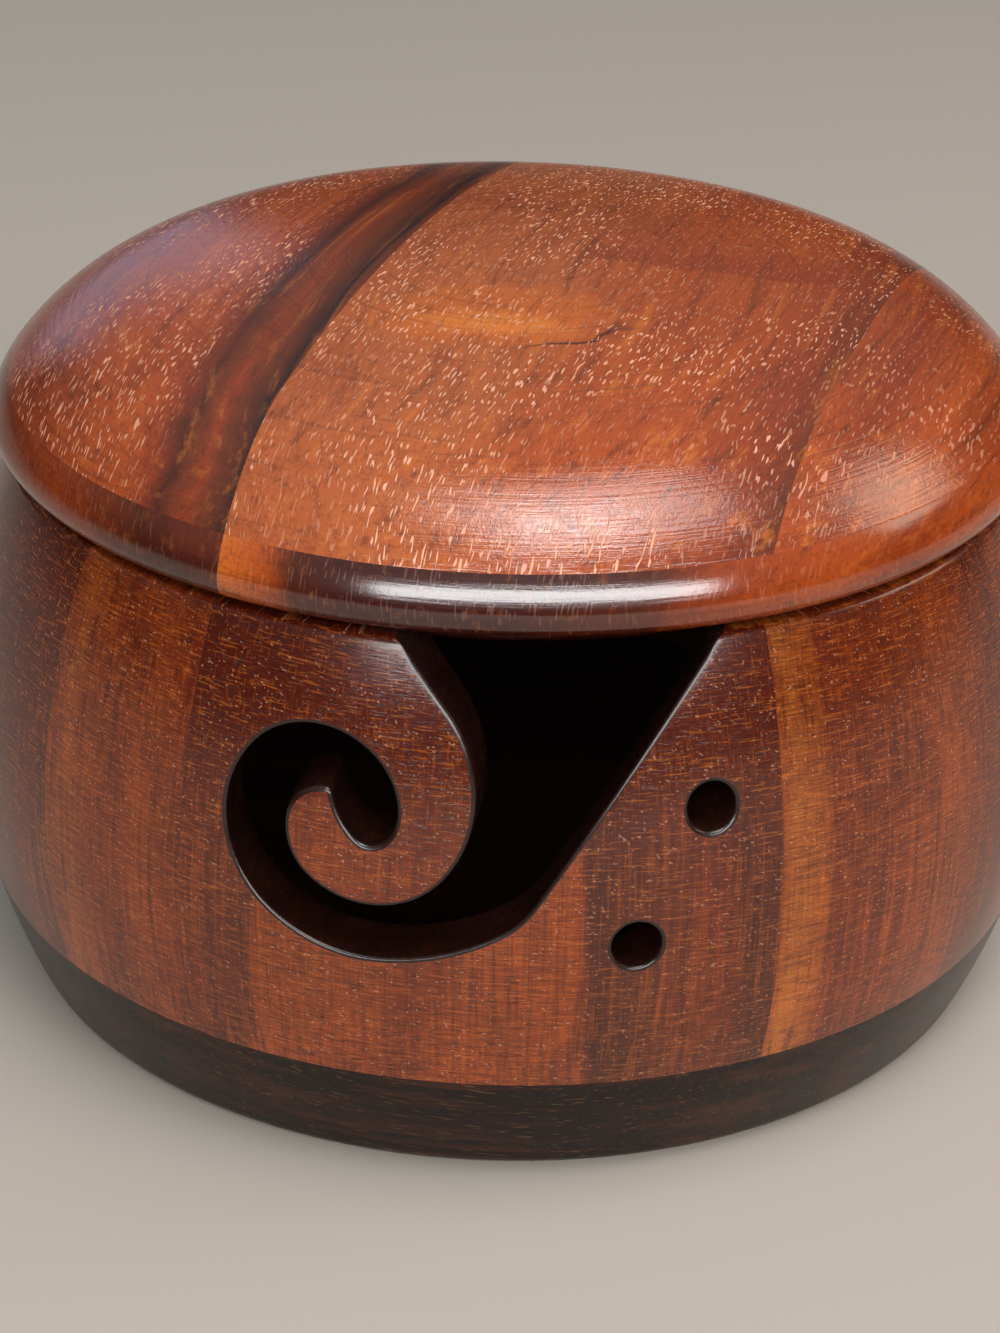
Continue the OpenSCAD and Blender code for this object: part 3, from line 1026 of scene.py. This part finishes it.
def lid_wood(name, ramp, seed, figure=None, pores=1.0, pored_to=90.0, golden=0.4, relief=0.0001):
    """Wood for a lid board: ramp is (distance across in mm, colour) from left to right.

    Pores show up to the distance pored_to; golden is how strong the gold streaks are."""
    wood = Recipe(name)
    x, y, z = wood.place(turn=BOARD_TURN)
    left, right_end = ramp[0][0], ramp[-1][0]
    stops = [((place - left) / (right_end - left), colour) for place, colour in ramp]

    sway = wood.noise(wood.join(x * 0.012, y * 0.009, z * 0.03 + seed), detail=1.5) - 0.5
    flow = x + sway * 22
    spot = wood.join(flow * 0.16, y * 0.012, z * 0.2 + seed * 1.3)
    ripple = wood.noise(spot, detail=3.0, roughness=0.6) - 0.5
    position = (x + sway * 8 + ripple * 6 - left) / (right_end - left)
    colour = wood.add("ShaderNodeValToRGB", {"stops": stops}, {"Fac": position})

    streaks = wood.noise(wood.join(flow * 0.5, y * 0.010, z * 0.5 + seed * 2.1), detail=4.0, roughness=0.65)
    colour = wood.mix(streaks.between(0.47, 0.30) * 0.5, colour, DARK)
    colour = wood.mix(streaks.between(0.52, 0.70) * golden, colour, GOLD)
    cloud = wood.noise(wood.join(x * 0.035, y * 0.028, z * 0.06 + seed * 3.7), detail=2.0, warp=0.6)
    colour = wood.mix(cloud.between(0.52, 0.74) * 0.45, colour, RED)
    if figure:
        colour = figure(wood, colour, x + sway * 10, y, z)

    fibres = wood.noise(wood.join(x * 1.9, y * 0.07, z * 1.9 + seed), detail=2.0, roughness=0.6)
    colour = wood.mix(fibres.between(0.48, 0.34) * 0.32, colour, DARK)
    radius = (x * x + y * y).power(0.5)
    lathe = wood.noise(wood.join(radius * 1.3, z * 1.3, x * 0.04), detail=3.0, roughness=0.65)
    colour = wood.mix(lathe.between(0.46, 0.34) * 0.28, colour, DARK)

    meander = wood.noise(wood.join(x * 0.3, y * 0.3, seed), detail=1.0) * 1.6
    dashes = wood.noise(wood.join(x * 3.1 + meander, y * 0.52, z * 0.4 + seed), detail=0.0)
    crowd = wood.noise(wood.join(x * 0.05, y * 0.04, seed), detail=1.0).between(0.38, 0.58)
    pored = x.between(pored_to + 2, pored_to - 2)
    pits = dashes.between(0.66, 0.70) * (0.25 + crowd * 0.75) * pores * pored
    colour = wood.mix(pits * 0.75, colour, PORE)

    roughness = 0.13 + fibres * 0.05 + pits * 0.4
    shoulder = radius.between(64.0, 76.0)
    skin = wood.noise(wood.join(x * 1.3 + meander, y * 0.8, z * 1.3), detail=2.0, roughness=0.6, warp=1.2)
    height = lathe * (0.2 + shoulder * 0.9) + skin * 0.45 + fibres * 0.15 - pits * 0.9
    return wood.lacquer(colour, roughness, height, relief, refraction=1.7)


print("lid boards turned", BOARD_TURN, "degrees from front to back")

# %% [markdown]
# The middle board shows an oval of golden wood where the lathe has cut through a bulge in the
# growth rings, with a thin dark line around its lower right, and a dark tongue behind it. Two
# ellipses with soft edges, bent by noise, are enough for that.

# %% Figure of the middle board


def golden_oval(wood, colour, x, y, z):
    wobble = wood.noise(wood.join(x * 0.06, y * 0.06, z * 0.06), detail=3.0) - 0.5
    oval = ellipse(wood, x, y, (4.0, -26.0), (20.0, 11.0), lean=17.0) + wobble * 0.9
    colour = wood.mix(oval.between(1.1, 0.75) * 0.75, colour, ORANGE)
    core = ellipse(wood, x, y, (5.0, -29.0), (14.0, 5.0), lean=14.0) + wobble * 0.8
    colour = wood.mix(core.between(1.1, 0.4) * 0.8, colour, GOLD)
    line = (oval - 0.98).maths("ABSOLUTE", oval - 0.98)
    right_side = x.between(6.0, 16.0) * y.between(-20.0, -26.0)
    colour = wood.mix(line.between(0.05, 0.0) * right_side * 0.9, colour, PLUM)
    tongue_edge = (y - (x - 10.0) * 0.30 - wobble * 8).between(-0.4, 0.6)
    tongue = tongue_edge * x.between(9.0, 13.0) * (y - x * 0.3).between(16.0, -2.0)
    return wood.mix(tongue * 0.62, colour, RED)


print("figure: an oval and a tongue")

# %% Part the lid into its boards
LEFT_JOINT, TOP_RIGHT_JOINT, UNDER_RIGHT_JOINT = -18.8, 57.8, 65.3
across_boards = Vector((math.cos(math.radians(BOARD_TURN)), -math.sin(math.radians(BOARD_TURN)), 0))


def lid_board(name, low, high, top, wood):
    """One board of the lid, between two joints and above or below the glue line."""
    mesh = lid_mesh
    glue = (0, 0, GLUE_Z * MM)
    cuts = [(glue, Vector((0, 0, -1 if top else 1)))]
    if low is not None:
        cuts.append((across_boards * low * MM, -across_boards))
    if high is not None:
        cuts.append((across_boards * high * MM, across_boards))
    for point, normal in cuts:
        mesh = keep_side(mesh, name, point, normal)
    mesh.materials.append(wood)
    gaps = finish_mesh(mesh)
    piece = bpy.data.objects.new(name, mesh)
    bpy.context.scene.collection.objects.link(piece)
    settle(piece, "lid", name)
    print(f"{name}: {len(mesh.polygons)} faces, {gaps} open edges")
    return piece


UNDER_RELIEF = 0.00002
top_left = lid_wood(
    "lid_top_left",
    [(-85, RUSSET), (-62, RED), (-48, RUSSET), (-39, RUSSET), (-35, RED), (-31.5, DARK), (-30, UMBER),
     (-27, RED), (-24, UMBER), (-21.5, DARK), (-20.2, BLACK), (-19.4, UMBER), (-18, UMBER)],
    5.2, pored_to=-34.0, golden=0.25,
)
top_middle = lid_wood(
    "lid_top_middle",
    [(-19, TAN), (-8, TAN), (8, TAN), (24, RUSSET), (40, RUSSET), (52, RED), (58, UMBER)],
    9.6, figure=golden_oval,
)
top_right = lid_wood("lid_top_right", [(57, RUSSET), (66, RED), (74, RUSSET), (85, RED)], 14.3, pores=0.6)
under_left = lid_wood(
    "lid_under_left",
    [(-85, UMBER), (-50, RED), (-34, DARK), (-26, PLUM), (-18, DARK)],
    19.8, pores=0.1, golden=0.1, relief=UNDER_RELIEF,
)
under_middle = lid_wood(
    "lid_under_middle",
    [(-19, ORANGE), (-12, RUSSET), (-7, DARK), (0, PLUM), (30, PLUM), (42, DARK), (50, RED), (66, RUSSET)],
    24.1, pores=0.1, golden=0.1, relief=UNDER_RELIEF,
)
under_right = lid_wood(
    "lid_under_right",
    [(65, RUSSET), (74, RED), (85, RUSSET)],
    29.5, pores=0.1, golden=0.2, relief=UNDER_RELIEF,
)
lid_board("lid_top_left", None, LEFT_JOINT, True, top_left)
lid_board("lid_top_middle", LEFT_JOINT, TOP_RIGHT_JOINT, True, top_middle)
lid_board("lid_top_right", TOP_RIGHT_JOINT, None, True, top_right)
lid_board("lid_under_left", None, LEFT_JOINT, False, under_left)
lid_board("lid_under_middle", LEFT_JOINT, UNDER_RIGHT_JOINT, False, under_middle)
lid_board("lid_under_right", UNDER_RIGHT_JOINT, None, False, under_right)

# %% [markdown]
# ## Floor and light
#
# A plain pale floor keeps the soft shadow. Lacquer is judged by what it mirrors, so the lamps
# are broad panels: one overhead gives the wide sheen on the lid's shoulder, one high in front
# draws the narrow bright line along the lid's edge, a cool one stands at the back left and a
# warm one at the right. The world is dim near the horizon, so that it lays no grey veil over
# the dark wood of the sides, and grows brighter overhead.

# %% Lay the floor
FLOOR_TONE = tone("#aaa298")
floor_recipe = Recipe("floor")
matt = {"Base Color": FLOOR_TONE, "Roughness": 0.7}
floor_shader = floor_recipe.add("ShaderNodeBsdfPrincipled", None, matt)
floor_recipe.add("ShaderNodeOutputMaterial", None, {"Surface": floor_shader})
FLOOR_HALF = 6.0
floor_mesh = bpy.data.meshes.new("floor")
floor_corners = [(x * FLOOR_HALF, y * FLOOR_HALF, 0) for x, y in ((-1, -1), (1, -1), (1, 1), (-1, 1))]
floor_mesh.from_pydata(floor_corners, [], [(0, 1, 2, 3)])
floor_mesh.materials.append(floor_recipe.material)
floor = bpy.data.objects.new("floor", floor_mesh)
bpy.context.scene.collection.objects.link(floor)

# %% Hang the lamps


def panel(name, place, aim, size, watts, colour=(1, 1, 1)):
    """A soft rectangular lamp that shines from a place towards another."""
    light = bpy.data.lights.new(name, "AREA")
    light.shape = "RECTANGLE"
    light.size, light.size_y = size
    light.energy = watts
    light.color = colour
    lamp = bpy.data.objects.new(name, light)
    direction = Vector(aim) - Vector(place)
    lamp.matrix_world = Matrix.Translation(place) @ direction.to_track_quat("-Z", "Y").to_matrix().to_4x4()
    bpy.context.scene.collection.objects.link(lamp)


panel("overhead", (0.26, -0.3, 1.5), (0.05, 0, 0.1), (1.0, 0.8), 10)
panel("overhead_core", (0.2, -0.45, 1.4), (0.03, 0, 0.1), (0.5, 0.2), 3)
panel("front_window", (0.2, -1.5, 0.95), (0.02, 0, 0.09), (2.2, 0.4), 34)
panel("back_window", (-0.85, 2.0, 0.55), (0, 0, 0.09), (1.0, 0.7), 1.5, (0.6, 0.7, 1.0))
panel("right_warm", (1.25, 0.25, 0.9), (0, 0, 0.09), (0.6, 0.6), 4, (1.0, 0.8, 0.62))

# %% Light the room


class Sky(Recipe):
    """The world's nodes, built as a material's are."""

    def __init__(self, name):
        self.start(bpy.data.worlds.new(name))
        bpy.context.scene.world = self.material


sky = Sky("studio")
_, _, height = sky.add("ShaderNodeSeparateXYZ", None, {0: sky.add("ShaderNodeTexCoord")}, output=None)
glow = {"From Min": 0.15, "From Max": 0.8, "To Min": 0.04, "To Max": 0.35}
strength = sky.add("ShaderNodeMapRange", None, {"Value": height, **glow})
light = sky.add("ShaderNodeBackground", None, {"Color": (0.9, 0.92, 0.95, 1), "Strength": strength})
sky.add("ShaderNodeOutputWorld", None, {"Surface": light})
bpy.context.scene.view_settings.view_transform = "Standard"
